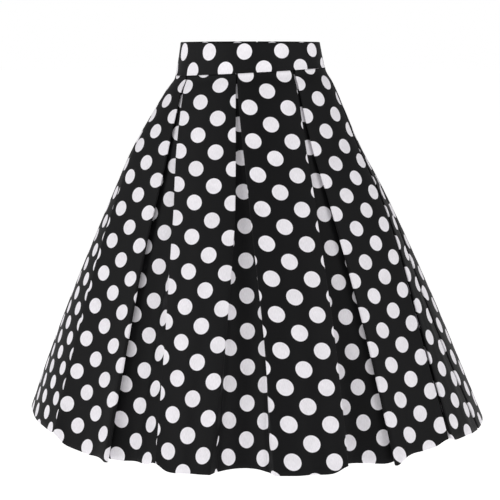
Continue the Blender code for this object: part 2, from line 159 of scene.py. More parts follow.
def planAt(level):
    # outline of the form at one level, with its running length and inward direction
    left, right, front, back = (mm * curve(level, form["level"], form[side])
                                for side in ("left", "right", "front", "back"))
    angle = np.arange(-180, 540.1, 0.25)
    a = np.radians(angle)
    s, c = np.sin(a), np.cos(a)
    xy = np.stack([np.where(s > 0, right, left) * s, -np.where(c > 0, front, back) * c], 1)
    length = np.concatenate([[0], np.cumsum(np.linalg.norm(np.diff(xy, axis=0), axis=1))])
    tangent = np.gradient(xy, length, axis=0)
    tangent /= np.linalg.norm(tangent, axis=1)[:, None]
    inward = np.stack([-tangent[:, 1], tangent[:, 0]], 1)
    return {"level": level, "angle": angle, "xy": xy, "length": length, "inward": inward}


def alongAt(plan, angle):
    return np.interp(angle, plan["angle"], plan["length"])


def placeOn(plan, along, depth):
    # points so far round the form and so far inside it, in metres
    along, depth = np.asarray(along, float), np.asarray(depth, float)
    pick = [np.interp(along, plan["length"], column) for column in (*plan["xy"].T, *plan["inward"].T)]
    angle = np.interp(along, plan["length"], plan["angle"])
    top, bottom = seamHeight(angle), hemHeight(angle)
    level = plan["level"]
    z = top * (1 + level) if level < 0 else top + (bottom - top) * level
    return np.stack([pick[0] + depth * pick[2], pick[1] + depth * pick[3], z], 1)


def pleatEdges(level):
    # both fold edges of every pleat at one level: G and H stand beside the back panel, and I midway from H to D
    rows = {name: [curve(level, pleats["level"], side) for side in pleats[name]] for name in "DABCEF"}
    gap = curve(level, pleats["level"], pleats["backGap"])
    panel = curve(level, pleats["level"], pleats["backPanel"])
    near, far = 180 - panel / 2, 180 + panel / 2
    last = rows["D"][0] + 360
    rows["G"] = [near - gap, near]
    half = (last - far - 2 * gap) / 2
    rows["H"] = [far, far + gap]
    rows["I"] = [far + gap + half, last - half]
    return rows


def foldLine(kind, level, reach, turn):
    # one side of a pleat from the panel inward, as (distance from the pleat's middle, depth)
    back, depth, roll, crease = (mm * curve(level, pleats["level"], folds[kind][name])
                                 for name in ("back", "depth", "roll", "crease"))
    depth = depth + turn
    while True:                 # both radii shrink until a straight return fits between them
        outer = np.array([reach + roll, turn + roll])
        inner = np.array([reach + back - crease, depth - crease])
        away = inner - outer
        span = np.hypot(*away)
        if span > 1.03 * (roll + crease):
            break
        roll, crease = roll * 0.9, crease * 0.9
    heading = np.arctan2(away[0], away[1]) + np.arccos(-(roll + crease) / span)
    a = np.linspace(0, heading, cloth["rollPoints"])[:, None]
    b = np.linspace(heading, 0, cloth["creasePoints"])[:, None]
    a = outer - roll * np.hstack([np.sin(a), np.cos(a)])
    b = inner + crease * np.hstack([np.sin(b), np.cos(b)])
    f = np.linspace(0, 1, cloth["returnPoints"] + 2)[1:-1, None]
    return np.concatenate([a, a[-1] + (b[0] - a[-1]) * f, b])


def skirtLine(level):
    # the cloth's line round the skirt at one level, with its seams and the columns of each part
    plan = planAt(level)
    edges = pleatEdges(level)
    sides, middles, lifted = {}, {}, []
    for name in pleatOrder:
        start, end = alongAt(plan, edges[name][0]), alongAt(plan, edges[name][1])
        middles[name] = (start + end) / 2
        reach = max((end - start) / 2, cloth["leastReach"] * mm)
        sides[name] = []
        for side in (0, 1):
            turn = mm * curve(level, pleats["level"], turns.get((name, side), (0,) * 6))
            sides[name].append(foldLine(pleatKinds[name][side], level, reach, turn))
            if (name, side) in lifts:
                lifted.append((middles[name] + reach * (2 * side - 1), turn, lifts[name, side]))
    along, depth, parts, cuts = [], [], {}, {}
    whole = alongAt(plan, 360) - alongAt(plan, 0)
    for i, name in enumerate(pleatOrder):
        down, up = sides[name][0] * (-1, 1), sides[name][1][::-1]
        s = np.linspace(0, 1, cloth["underlayPoints"] + 2)[1:-1]
        flat = down[-1, 0] + (up[0, 0] - down[-1, 0]) * s
        bulge = pleatKinds[name][2] * mm * level**1.5
        deep = down[-1, 1] + (up[0, 1] - down[-1, 1]) * s * s * (3 - 2 * s) + bulge * 4 * s * (1 - s)
        if name in "DE":
            split = cloth["underlayPoints"] // 2
            cuts[name] = len(along) + len(down) + split
            flat = np.insert(flat, split, (flat[split - 1] + flat[split]) / 2 - seamGap * 0.6)
            deep = np.insert(deep, split, (deep[split - 1] + deep[split]) / 2)
            flat = np.insert(flat, split + 1, flat[split] + seamGap * 1.2)
            deep = np.insert(deep, split + 1, deep[split])
        parts[name] = (len(along), len(along) + len(down), len(along) + len(down) + len(flat),
                       len(along) + len(down) + len(flat) + len(up))
        points = np.concatenate([down, np.stack([flat, deep], 1), up])
        along += list(middles[name] + points[:, 0])
        depth += list(points[:, 1])
        after = pleatOrder[(i + 1) % len(pleatOrder)]
        start = along[-1]
        end = middles[after] - sides[after][0][0, 0] + (whole if after == "D" else 0)
        turnIn, turnOut = depth[-1], sides[after][0][0, 1]
        f = np.linspace(0, 1, cloth["panelPoints"] + 2)[1:-1]
        if name == "G":
            half = cloth["panelPoints"] // 2
            cuts["back"] = len(along) + half
            middle = (alongAt(plan, 180) - start) / (end - start)
            f = np.concatenate([np.linspace(0, middle, half + 2)[1:], np.linspace(middle, 1, half + 2)[:-1]])
        flat = start + (end - start) * f
        if name == "G":
            gap = zipGap(level)
            flat[half] -= gap
            flat[half + 1] += gap
        hollow = hollows.get(name, 0) * mm * level**2 * 4 * f * (1 - f)
        along += list(flat)
        ripple = sum(share * np.sin(2 * np.pi * (waves * f + shift * i))
                     for waves, shift, share in form["ripples"])
        ripple = form["sway"] * mm * level**2 * np.sin(np.pi * f)**2 * ripple
        depth += list(turnIn * (1 - f) + turnOut * f + hollow + ripple)
    along, depth = np.array(along), np.array(depth)
    points = placeOn(plan, along, depth)
    for edge, turn, lift in lifted:
        near = ((along - edge)**2 + (depth - turn)**2) / (form["liftReach"] * mm)**2
        points[:, 2] += lift * mm * level**8 * np.exp(-near)
    return points, parts, cuts


def zipGap(level):
    drop = form["bandHeight"] + (form["hemDrop"] - form["bandHeight"]) * level
    return mm * float(curve(drop, cloth["zipDown"], cloth["zipGap"]))


def outwardOf(points):
    # level direction out of the cloth at each point of a closed line
    flat = points[:, :2]
    ahead, behind = np.roll(flat, -1, 0) - flat, flat - np.roll(flat, 1, 0)
    mean = sum(run / np.linalg.norm(run, axis=1)[:, None] for run in (ahead, behind))
    mean = np.stack([mean[:, 1], -mean[:, 0]], 1)
    mean /= np.linalg.norm(mean, axis=1)[:, None]
    return np.hstack([mean, np.zeros((len(flat), 1))])


print("skirt: laying the pleats")
grid, away = [], []
for level in np.linspace(0, 1, cloth["rows"])**cloth["rowSpread"]:
    line, parts, cuts = skirtLine(float(level))
    if level == 0:
        line[:, 2] -= seamGap / 2
    grid.append(line)
    away.append(outwardOf(line))
grid, away = np.array(grid), np.array(away)
columnCount = grid.shape[1]

# Where the print lies on each part, from its own middle line: start across and down in mm, then how far
# the cut widens, leans, turns and stretches, and how it spreads, swings, bends and dips further down, in
# mm or parts of one. These values were not set by hand: a separate program fitted them to measured places
# of the photo's dots.
printLay = {
    "panelI": (160.4, -21.6, 0.027, -0.045, 0.076, 0.059, 0.142, 0.052, -20.2, 1.0),
    "panelD": (71.4, 67.0, -0.028, -0.103, 0.07, 0.006, -0.021, -0.016, 17.5, -1.4),
    "A": (28.8, 39.5, 0.006, -0.005, 0.003, 0.001, 0.022, 0.001, -3.2, 0.0),
    "panelA": (8.0, 9.3, -0.049, 0.019, 0.016, -0.015, 0.036, -0.018, 1.5, -0.5),
    "B": (-3.9, 27.0, 0.011, 0.004, -0.012, -0.002, 0.041, -0.007, -1.4, -0.1),
    "panelB": (32.2, 54.2, 0.002, 0.007, -0.067, -0.017, -0.021, -0.005, -2.2, 0.0),
    "C": (27.2, 67.8, 0.015, 0.002, -0.02, -0.003, 0.055, -0.008, 0.3, -0.1),
    "panelC": (41.9, 32.8, -0.004, 0.072, -0.056, -0.005, 0.008, -0.015, -8.7, -1.0),
    "panelE": (101.2, 15.9, -0.002, -0.014, 0.003, 0.006, -0.006, 0.001, -5.8, 0.0),
    "panelF": (-49.4, 53.7, 0.006, 0.01, 0.031, -0.041, 0.03, 0.019, 6.3, -0.4),
}
printDepth = 300.0              # mm down at which the spread, swing and bend are given
dotPitch = np.array((66.0, 59.0))       # mm from dot to dot across and down, with a shifted row between


def nearestRepeat(shift):
    # the step of the print nearest to a shift, in mm: whole repeats, or half a repeat both ways
    steps = [(np.round(shift / dotPitch - half) + half) * dotPitch for half in (0, 0.5)]
    return min(steps, key=lambda step: np.hypot(*(step - shift)))


def partEnds(parts, columns, back):
    # first and last column of each underlay and each panel, with the centre-back panel in two
    ends = {}
    for i, name in enumerate(pleatOrder):
        start, underlay, last, stop = parts[name]
        after = parts[pleatOrder[i + 1]][0] if i < len(pleatOrder) - 1 else columns
        ends[name] = (underlay, last - 1)
        ends["panel" + name] = (stop - 1, after)
    ends["panelZip"] = (back + 1, ends["panelG"][1])
    ends["panelG"] = (ends["panelG"][0], back)
    return ends


def layPart(name, a, d):
    # place in the print of points so far across from a part's middle line and so far down, in mm
    startAcross, startDown, widen, lean, turn, stretch, spread, swing, bend, dip = printLay.get(name, (0,) * 10)
    x = d / printDepth
    return np.stack([startAcross + a * (1 + widen + spread * x) + d * lean + bend * x**2,
                     startDown + d * (1 + stretch) + a * (turn + swing * x)
                     + dip * (np.clip(a, -90, 90) / 60)**2], 2)


def layPrint(grid, parts, back):
    # flat cloth position of every point in metres, with running lengths from the centre back and from the waist
    rows, columns = grid.shape[:2]
    loop = np.concatenate([grid, grid[:, :1]], 1)
    run = np.concatenate([np.zeros((rows, 1)), np.cumsum(np.linalg.norm(np.diff(loop, axis=1), axis=2), 1)], 1)
    across = (run[:, :-1] - run[:, back + 1:back + 2]) % run[:, -1:]
    down = np.concatenate([np.zeros((1, columns)), np.cumsum(np.linalg.norm(np.diff(grid, axis=0), axis=2), 0)])
    ends = partEnds(parts, columns, back)
    lays = {}
    for name, (first, last) in ends.items():
        middle = (first + last) // 2
        lays[name] = layPart(name, (across - across[:, middle:middle + 1]) / mm, down / mm)
    # each part's print is moved by whole repeats, or freely where none is given, to run on from its neighbour's
    order = ["panelZip", "H", "panelH", "I", "panelI"]
    for name in "DABCEFG":
        order += [name, "panel" + name]
    centre = order.index("panelB")
    for name, beside in ([(order[k], order[k - 1]) for k in range(centre + 1, len(order))]
                         + [(order[k], order[k + 1]) for k in range(centre - 1, -1, -1)]):
        edge = ends[max(name, beside, key=order.index)][0]
        shift = (lays[beside][:, edge] - lays[name][:, edge]).mean(0)
        lays[name] += nearestRepeat(shift) if name in printLay else shift
    # behind a shut fold the underlay's print follows the panel's row by row
    for name, before in (("D", "panelI"), ("E", "panelC"), ("F", "panelE")):
        edge = ends[name][0]
        lays[name] += (lays[before][:, edge] - lays[name][:, edge])[:, None]
    flat = np.zeros((rows, columns, 2))
    for name, (first, last) in ends.items():
        if name.startswith("panel"):
            flat[:, first:last + 1] = lays[name][:, first:last + 1]
    # a panel's print and its underlay's meet in the crease, on the return of a wide fold, or at an open fold's
    # edge: how many columns in from the panel that starts, and how many it takes
    roll, back, crease = cloth["rollPoints"], cloth["returnPoints"], cloth["creasePoints"]
    meetings = {"deep": (roll - 1, back + 1), "centre": (roll - 1, back + 1), "open": (roll - 4, 3)}
    for i, name in enumerate(pleatOrder):
        start, underlay, last, stop = parts[name]
        before = "panelZip" if name == "H" else "panel" + pleatOrder[i - 1]
        (skipIn, lengthIn), (skipOut, lengthOut) = (meetings.get(kind, (roll + back - 1, crease))
                                                    for kind in pleatKinds[name][:2])
        for c in range(start, stop):
            if c < (underlay + last) // 2:
                side, w = before, np.clip((c - start - skipIn) / lengthIn, 0, 1)
            else:
                side, w = "panel" + name, np.clip((stop - 1 - skipOut - c) / lengthOut, 0, 1)
            w = w * w * (3 - 2 * w)
            flat[:, c] = lays[side][:, c] * (1 - w) + lays[name][:, c] * w
    return flat * mm, across, down


flat, across, down = layPrint(grid, parts, cuts["back"])
print("skirt: girth of the cloth at the seam and the hem",
      [round(float(across[r].max()), 3) for r in (0, -1)])


def deselectAll():
    for item in bpy.context.selected_objects:
        item.select_set(False)


def sheetPiece(name, points, flatPoints, looks, thickness):
    # a grid of points [row][column] made a closed cloth wall that keeps its flat position as a UV map
    rows, columns = points.shape[:2]
    mesh = bpy.data.meshes.new(name)
    index = np.arange(rows * columns).reshape(rows, columns)
    faces = np.stack([index[:-1, :-1], index[1:, :-1], index[1:, 1:], index[:-1, 1:]], 2).reshape(-1, 4)
    mesh.from_pydata(points.reshape(-1, 3).tolist(), [], faces.tolist())
    layer = mesh.uv_layers.new(name="clothPosition")
    corners = np.zeros(len(mesh.loops), int)
    mesh.loops.foreach_get("vertex_index", corners)
    layer.data.foreach_set("uv", flatPoints.reshape(-1, 2)[corners].astype(np.float32).ravel())
    for look in looks:
        mesh.materials.append(look)
    mesh.shade_smooth()
    piece = bpy.data.objects.new(name, mesh)
    bpy.context.scene.collection.objects.link(piece)
    wall = piece.modifiers.new("wall", "SOLIDIFY")
    wall.thickness, wall.offset = thickness, 0
    wall.use_even_offset = False
    wall.material_offset = len(looks) - 1
    wall.use_rim = True
    wall.material_offset_rim = 0
    deselectAll()
    bpy.context.view_layer.objects.active = piece
    piece.select_set(True)
    bpy.ops.object.modifier_apply(modifier="wall")
    return piece


def linear(code):
    # sRGB hex to the linear colour that Blender mixes
    parts = [int(code[i:i + 2], 16) / 255 for i in (1, 3, 5)]
    return tuple(c / 12.92 if c <= 0.04045 else ((c + 0.055) / 1.055)**2.4 for c in parts) + (1.0,)


def addNode(tree, kind, links=None, inputs=None, **settings):
    # a node with its settings, its input values and what feeds it
    node = tree.nodes.new(kind)
    for key, value in settings.items():
        setattr(node, key, value)
    for key, value in (inputs or {}).items():
        node.inputs[key].default_value = value
    for key, source in (links or {}).items():
        tree.links.new(source, node.inputs[key])
    return node


def emptyMaterial(name):
    look = bpy.data.materials.new(name)
    look.use_nodes = True
    tree = look.node_tree
    tree.nodes.clear()
    shader = addNode(tree, "ShaderNodeBsdfPrincipled")
    addNode(tree, "ShaderNodeOutputMaterial", links={"Surface": shader.outputs["BSDF"]})
    return look, tree, shader


polkaDots = {
    "ground": "#0c0c0e",
    "dot": "#f4f1f6",
    "dotSize": 27.0,            # mm
    "thread": 0.5,              # mm between threads
    "groundRoughness": 0.62,
    "dotRoughness": 0.72,
}


def cottonMaterial(name, ground, dot, softness):
    # plain-weave cotton with dots left white in a black ground: matt, with a faint sheen along the yarn
    look, tree, shader = emptyMaterial(name)
    uv = addNode(tree, "ShaderNodeUVMap", uv_map="clothPosition")
    pitch = (dotPitch[0] * mm, dotPitch[1] * mm, 1)
    scaled = addNode(tree, "ShaderNodeVectorMath", links={0: uv.outputs["UV"]}, operation="DIVIDE")
    scaled.inputs[1].default_value = pitch
    distances = []
    for shift in (0.5, 0.0):
        moved = addNode(tree, "ShaderNodeVectorMath", links={0: scaled.outputs[0]}, operation="ADD")
        moved.inputs[1].default_value = (shift, shift, 0)
        cell = addNode(tree, "ShaderNodeVectorMath", links={0: moved.outputs[0]}, operation="FRACTION")
        centred = addNode(tree, "ShaderNodeVectorMath", links={0: cell.outputs[0]}, operation="SUBTRACT")
        centred.inputs[1].default_value = (0.5, 0.5, 0)
        sized = addNode(tree, "ShaderNodeVectorMath", links={0: centred.outputs[0]}, operation="MULTIPLY")
        sized.inputs[1].default_value = (pitch[0], pitch[1], 0)
        distances.append(addNode(tree, "ShaderNodeVectorMath", links={0: sized.outputs[0]}, operation="LENGTH"))
    nearest = addNode(tree, "ShaderNodeMath", operation="MINIMUM",
                      links={0: distances[0].outputs["Value"], 1: distances[1].outputs["Value"]})
    radius = polkaDots["dotSize"] * mm / 2
    mask = addNode(tree, "ShaderNodeMapRange", interpolation_type="SMOOTHSTEP",
                   links={"Value": nearest.outputs[0]},
                   inputs={"From Min": radius - softness * mm, "From Max": radius + softness * mm,
                           "To Min": 1.0, "To Max": 0.0})
    # dye takes a little unevenly, in patches of a few centimetres and along single yarns
    patches = addNode(tree, "ShaderNodeTexNoise", links={"Vector": uv.outputs["UV"]},
                      inputs={"Scale": 28.0, "Detail": 3.0, "Roughness": 0.6})
    yarn = addNode(tree, "ShaderNodeMapping", links={"Vector": uv.outputs["UV"]})
    yarn.inputs["Scale"].default_value = (1200, 160, 1)
    slub = addNode(tree, "ShaderNodeTexNoise", links={"Vector": yarn.outputs[0]},
                   inputs={"Scale": 1.0, "Detail": 2.0, "Roughness": 0.5})
    uneven = addNode(tree, "ShaderNodeMath", operation="MULTIPLY_ADD",
                     links={0: patches.outputs["Fac"], 2: slub.outputs["Fac"]}, inputs={1: 0.8})
    tone = addNode(tree, "ShaderNodeMapRange", links={"Value": uneven.outputs[0]},
                   inputs={"From Min": 0.5, "From Max": 1.3, "To Min": 0.84, "To Max": 1.12})
    colour = addNode(tree, "ShaderNodeMix", data_type="RGBA", links={"Factor": mask.outputs[0]})
    colour.inputs["A"].default_value = linear(ground)
    colour.inputs["B"].default_value = linear(dot)
    toned = addNode(tree, "ShaderNodeVectorMath", operation="SCALE",
                    links={0: colour.outputs["Result"], "Scale": tone.outputs[0]})
    tree.links.new(toned.outputs[0], shader.inputs["Base Color"])
    rough = addNode(tree, "ShaderNodeMapRange", links={"Value": mask.outputs[0]},
                    inputs={"To Min": polkaDots["groundRoughness"], "To Max": polkaDots["dotRoughness"]})
    tree.links.new(rough.outputs[0], shader.inputs["Roughness"])
    # plain weave: warp and weft yarns cross every half millimetre
    warp = addNode(tree, "ShaderNodeTexWave", links={"Vector": uv.outputs["UV"]}, bands_direction="X",
                   inputs={"Scale": 1 / (polkaDots["thread"] * mm) / 20 * np.pi * 2 / 2, "Distortion": 0.4})
    weft = addNode(tree, "ShaderNodeTexWave", links={"Vector": uv.outputs["UV"]}, bands_direction="Y",
                   inputs={"Scale": 1 / (polkaDots["thread"] * mm) / 20 * np.pi * 2 / 2, "Distortion": 0.4})
    weave = addNode(tree, "ShaderNodeMath", operation="MULTIPLY",
                    links={0: warp.outputs["Fac"], 1: weft.outputs["Fac"]})
    relief = addNode(tree, "ShaderNodeMath", operation="MULTIPLY_ADD",
                     links={0: weave.outputs[0], 2: slub.outputs["Fac"]}, inputs={1: 0.5})
    bump = addNode(tree, "ShaderNodeBump", links={"Height": relief.outputs[0]},
                   inputs={"Strength": 0.35, "Distance": 0.0002})
    tree.links.new(bump.outputs[0], shader.inputs["Normal"])
    shader.inputs["IOR"].default_value = 1.47
    shader.inputs["Specular IOR Level"].default_value = 0.18
    shader.inputs["Sheen Weight"].default_value = 0.04
    shader.inputs["Sheen Roughness"].default_value = 0.4
    return look


cottonFace = cottonMaterial("plain-weave cotton, printed face", polkaDots["ground"], polkaDots["dot"], 0.25)
# the print shows through to the wrong side paler and less sharp
cottonBack = cottonMaterial("plain-weave cotton, wrong side", "#2b2b2e", "#cfccd2", 0.6)


def hemRows(grid, away, flat):
    # the cloth turned up inside at the hem, as more rows
    gap, height = cloth["hemGap"] * mm, cloth["hemTurn"] * mm
    last, out = grid[-1], away[-1]
    extra, extraFlat = [], []
    arc = np.array([0, 0, 1.0])
    for turn in np.radians((40, 80, 115, 150, 180)):
        extra.append(last - out * gap / 2 * (1 - np.cos(turn)) - arc * gap / 2 * np.sin(turn))
        extraFlat.append(flat[-1] + (0, gap / 2 * turn))
    run = np.linalg.norm(grid[-1] - grid[-2], axis=1)
    for up in (0.25, 0.6, 1.0):
        steps = up * height / run
        whole = np.minimum(steps.astype(int), 20)
        part = (steps - whole)[:, None]
        pick = np.arange(grid.shape[1])
        low, high = len(grid) - 1 - whole, len(grid) - 2 - whole
        point = grid[low, pick] * (1 - part) + grid[high, pick] * part
        extra.append(point - out * gap)
        extraFlat.append(flat[-1] + (0, gap * 1.57 + up * height))
    return np.concatenate([grid, np.array(extra)]), np.concatenate([flat, np.array(extraFlat)])


spans = {
    "skirtFrontCloth": ("skirt_front", cuts["D"] + 1, cuts["E"]),
    "skirtBackLeftCloth": ("skirt_back_left", cuts["E"] + 1, cuts["back"]),
    "skirtBackRightCloth": ("skirt_back_right", cuts["back"] + 1, grid.shape[1] + cuts["D"]),
}
turned, turnedFlat = hemRows(grid, away, flat)
for name, (node, first, last) in spans.items():
    pick = np.arange(first, last + 1) % grid.shape[1]
    piece = sheetPiece(name, turned[:, pick], turnedFlat[:, pick], [cottonFace, cottonBack],
                       cloth["thickness"] * mm)
    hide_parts(node)
    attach(piece, "skirt")

waistband = {
    "outer": -1.0,              # mm from the solid's middle surface, minus is outward
    "inner": 1.6,
    "edge": 1.2,                # roundness of the folded top edge, mm
    "puff": 0.25,
    "printStart": (-3.7, -15.4),    # mm from a dot to the middle of the fold at centre front
}


def bandPoint(angle, drop, depth, lift=0.0):
    plan = planAt(drop - 1)
    point = placeOn(plan, alongAt(plan, angle), np.zeros(np.shape(angle)) + depth * mm)
    point[:, 2] += lift * mm
    return point


def bandPiece(name, node, first, last, columns):
    angle = np.linspace(first, last, columns)
    height = form["bandHeight"]
    middle = (waistband["outer"] + waistband["inner"]) / 2
    half = (waistband["inner"] - waistband["outer"]) / 2
    profile = []                # (drop 0 to 1, depth, lift): up the inside, over the fold, down the face
    for d in np.linspace(0.97, 0.06, 9):
        profile.append((d, waistband["inner"], 0))
    for a in np.radians((0, 30, 60, 90, 120, 150, 180)):
        profile.append((half / height, middle + half * np.cos(a), half * np.sin(a)))
    for d in np.linspace(0.06, 0.97, 13):
        profile.append((d, waistband["outer"] - waistband["puff"] * np.sin(np.pi * d), 0))
    profile.append((0.99, waistband["outer"] + 0.25, 0))
    profile.append((1.0, waistband["outer"] + 0.9, 0.15))
    profile.append((1.0, waistband["inner"] - 0.4, 0.15))
    points = []
    for drop, depth, lift in profile:
        points.append(bandPoint(angle, drop, depth, lift))
    points = np.array(points)
    run = np.linalg.norm(np.diff(points[-8], axis=0), axis=1)
    u = np.concatenate([[0], np.cumsum(run)])
    u -= np.interp(0 if first < 0 < last else 180, angle, u)
    v = np.cumsum([0] + list(np.linalg.norm(np.diff(points[:, columns // 2], axis=0), axis=1)))
    v -= v[12]
    return points, np.stack(np.meshgrid(u, v), 2) + np.array(waistband["printStart"]) * mm


def closedPiece(name, loops, flatPoints, look):
    # rings of points [ring][column] joined into a closed band, with its two ends filled
    rings, columns = loops.shape[:2]
    mesh = bmesh.new()
    layer = mesh.loops.layers.uv.new("clothPosition")
    verts = [[mesh.verts.new(p) for p in ring] for ring in loops]
    for r in range(rings):
        q = (r + 1) % rings
        for c in range(columns - 1):
            face = mesh.faces.new([verts[r][c], verts[q][c], verts[q][c + 1], verts[r][c + 1]])
            face.smooth = True
            for corner, (i, j) in zip(face.loops, ((r, c), (r + 1, c), (r + 1, c + 1), (r, c + 1))):
                corner[layer].uv = (flatPoints[i, j] if i < rings
                                    else flatPoints[rings - 1, j] + (0, 0.002))
    for c, order in ((0, 1), (columns - 1, -1)):
        face = mesh.faces.new([verts[r][c] for r in range(rings)][::order])
        for corner in face.loops:
            corner[layer].uv = flatPoints[0, c]
    bmesh.ops.triangulate(mesh, faces=[f for f in mesh.faces if len(f.verts) > 4])
    bmesh.ops.recalc_face_normals(mesh, faces=mesh.faces[:])
    data = bpy.data.meshes.new(name)
    mesh.to_mesh(data)
    mesh.free()
    data.materials.append(look)
    piece = bpy.data.objects.new(name, data)
    bpy.context.scene.collection.objects.link(piece)
    return piece


print("waistband: three lengths of folded cloth")
for name, node, first, last, columns in (
        ("waistbandFrontCloth", "waistband_front", -78.6, 88.6, 110),
        ("waistbandBackLeftCloth", "waistband_back_left", 88.8, 179.4, 60),
        ("waistbandBackRightCloth", "waistband_back_right", 180.6, 281.2, 66)):
    loops, flatPoints = bandPiece(name, node, first, last, columns)
    piece = closedPiece(name, loops, flatPoints, cottonFace)
    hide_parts(node)
    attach(piece, "skirt")

# The concealed zip: two woven tapes with a coil sewn along their inner side, a slider and its pull
zipParts = {
    "coilTop": -13.5, "coilBottom": -190.0,     # mm
    "pitch": 1.5, "toothRadius": 1.05, "wire": 0.36, "toothWidth": 2.1,
    "bandDepth": 2.2, "skirtDepth": 1.25, "tapeWall": 0.8,      # where the tape lies inside the form, mm
    "bandEnd": -75.4,
    "stitchRows": (-9.0, 9.0), "stitchStep": 3.0,
}
stitch = {"length": 2.3, "width": 0.42, "height": 0.3}          # mm


def backPoint(z, depth, x):
    # a point in mm at the centre back, so far inside the form
    seam, hem = seamHeight(180) / mm, hemHeight(180) / mm
    plan = planAt(z / -seam - 1 if z > seam else (seam - z) / (seam - hem))
    y = np.interp(180, plan["angle"], plan["xy"][:, 1]) - depth * mm
    return np.array([x * mm, y, z * mm])


def tapeDepth(z):
    return (zipParts["bandDepth"] if z > zipParts["bandEnd"] else zipParts["skirtDepth"]) + zipParts["tapeWall"]


def modelTooth():
    # one turn of the coil, drawn out across the tape
    deselectAll()
    bpy.ops.mesh.primitive_torus_add(major_segments=10, minor_segments=4, location=(0, 0, 0),
                                     major_radius=zipParts["toothRadius"] * mm,
                                     minor_radius=zipParts["wire"] * mm)
    tooth = bpy.context.object
    bpy.ops.object.mode_set(mode="EDIT")
    bpy.ops.mesh.select_all(action="SELECT")
    bpy.ops.transform.resize(value=(zipParts["toothWidth"], 0.9, 1.0))
    bpy.ops.object.mode_set(mode="OBJECT")
    return tooth


def modelStitch():
    # one short stitch, flat against the cloth, along X with Z off the cloth
    deselectAll()
    bpy.ops.mesh.primitive_uv_sphere_add(segments=6, ring_count=4, radius=0.5, location=(0, 0, 0),
                                         rotation=(0, np.pi / 2, 0))
    made = bpy.context.object
    bpy.ops.object.transform_apply(location=False, rotation=True, scale=False)
    bpy.ops.object.mode_set(mode="EDIT")
    bpy.ops.mesh.select_all(action="SELECT")
    bpy.ops.transform.resize(value=(stitch["length"] * mm, stitch["width"] * mm, stitch["height"] * mm))
    bpy.ops.object.mode_set(mode="OBJECT")
    return made


def copiesOf(source, name, places, look, body="skirt"):
    # one piece made of copies of source, each at (point, its X direction, its Z direction)
    base = np.array([v.co for v in source.data.vertices])
    faces = [list(f.vertices) for f in source.data.polygons]
    verts, allFaces = [], []
    for point, ahead, off in places:
        ahead = ahead / np.linalg.norm(ahead)
        off = off - ahead * (off @ ahead)
        off = off / np.linalg.norm(off)
        side = np.cross(off, ahead)
        turned = base @ np.array([ahead, side, off]) + point
        allFaces += [[i + len(verts) for i in f] for f in faces]
        verts += turned.tolist()
    data = bpy.data.meshes.new(name)
    data.from_pydata(verts, [], allFaces)
    data.shade_smooth()
    data.materials.append(look)
    piece = bpy.data.objects.new(name, data)
    bpy.context.scene.collection.objects.link(piece)
    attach(piece, body)
    return piece


def threadMaterial(name, colour, rough):
    # spun polyester thread: a matt twist whose plies show as fine slanting ridges, drawn at 0.8 mm so they show
    look, tree, shader = emptyMaterial(name)
    place = addNode(tree, "ShaderNodeTexCoord")
    twist = addNode(tree, "ShaderNodeTexWave", links={"Vector": place.outputs["Object"]},
                    bands_direction="DIAGONAL",
                    inputs={"Scale": 2 * np.pi / 20 / (0.8 * mm), "Distortion": 1.0})
    # the ply crests, where the same wave raises the bump, are painted lighter: a painted highlight along each
    # ply of the black thread
    shade = addNode(tree, "ShaderNodeMix", data_type="RGBA", links={"Factor": twist.outputs["Fac"]})
    shade.inputs["A"].default_value = linear(colour)
    shade.inputs["B"].default_value = tuple(min(1, c * 1.8) for c in linear(colour)[:3]) + (1,)
    tree.links.new(shade.outputs["Result"], shader.inputs["Base Color"])
    bump = addNode(tree, "ShaderNodeBump", links={"Height": twist.outputs["Fac"]},
                   inputs={"Strength": 0.4, "Distance": 0.1 * mm})
    tree.links.new(bump.outputs[0], shader.inputs["Normal"])
    shader.inputs["Roughness"].default_value = rough
    shader.inputs["Sheen Weight"].default_value = 0.1
    return look


def tapeMaterial():
    # woven polyester tape: herringbone ribs 1.2 mm apart, matt with a low sheen
    look, tree, shader = emptyMaterial("woven polyester tape, black")
    place = addNode(tree, "ShaderNodeTexCoord")
    ribs = []
    for turn in (0.7, -0.7):
        slant = addNode(tree, "ShaderNodeMapping", links={"Vector": place.outputs["Object"]})
        slant.inputs["Rotation"].default_value = (0, turn, 0)
        ribs.append(addNode(tree, "ShaderNodeTexWave", links={"Vector": slant.outputs[0]}, bands_direction="X",
                            inputs={"Scale": 2 * np.pi / 20 / (1.2 * mm)}))
    parts = addNode(tree, "ShaderNodeSeparateXYZ", links={0: place.outputs["Object"]})
    stripe = addNode(tree, "ShaderNodeMath", operation="PINGPONG", links={0: parts.outputs["X"]},
                     inputs={1: 2.4 * mm})
    side = addNode(tree, "ShaderNodeMath", operation="GREATER_THAN", links={0: stripe.outputs[0]},
                   inputs={1: 1.2 * mm})
    weave = addNode(tree, "ShaderNodeMix", data_type="FLOAT",
                    links={"Factor": side.outputs[0], "A": ribs[0].outputs["Fac"], "B": ribs[1].outputs["Fac"]})
    # the rib crests, where the same wave raises the bump, are painted lighter than the hollows: a painted
    # highlight on each rib of the black tape
    shade = addNode(tree, "ShaderNodeMix", data_type="RGBA", links={"Factor": weave.outputs["Result"]})
    shade.inputs["A"].default_value = linear("#131315")
    shade.inputs["B"].default_value = linear("#29292c")
    tree.links.new(shade.outputs["Result"], shader.inputs["Base Color"])
    bump = addNode(tree, "ShaderNodeBump", links={"Height": weave.outputs["Result"]},
                   inputs={"Strength": 0.6, "Distance": 0.15 * mm})
    tree.links.new(bump.outputs[0], shader.inputs["Normal"])
    shader.inputs["Roughness"].default_value = 0.7
    shader.inputs["Sheen Weight"].default_value = 0.15
    return look


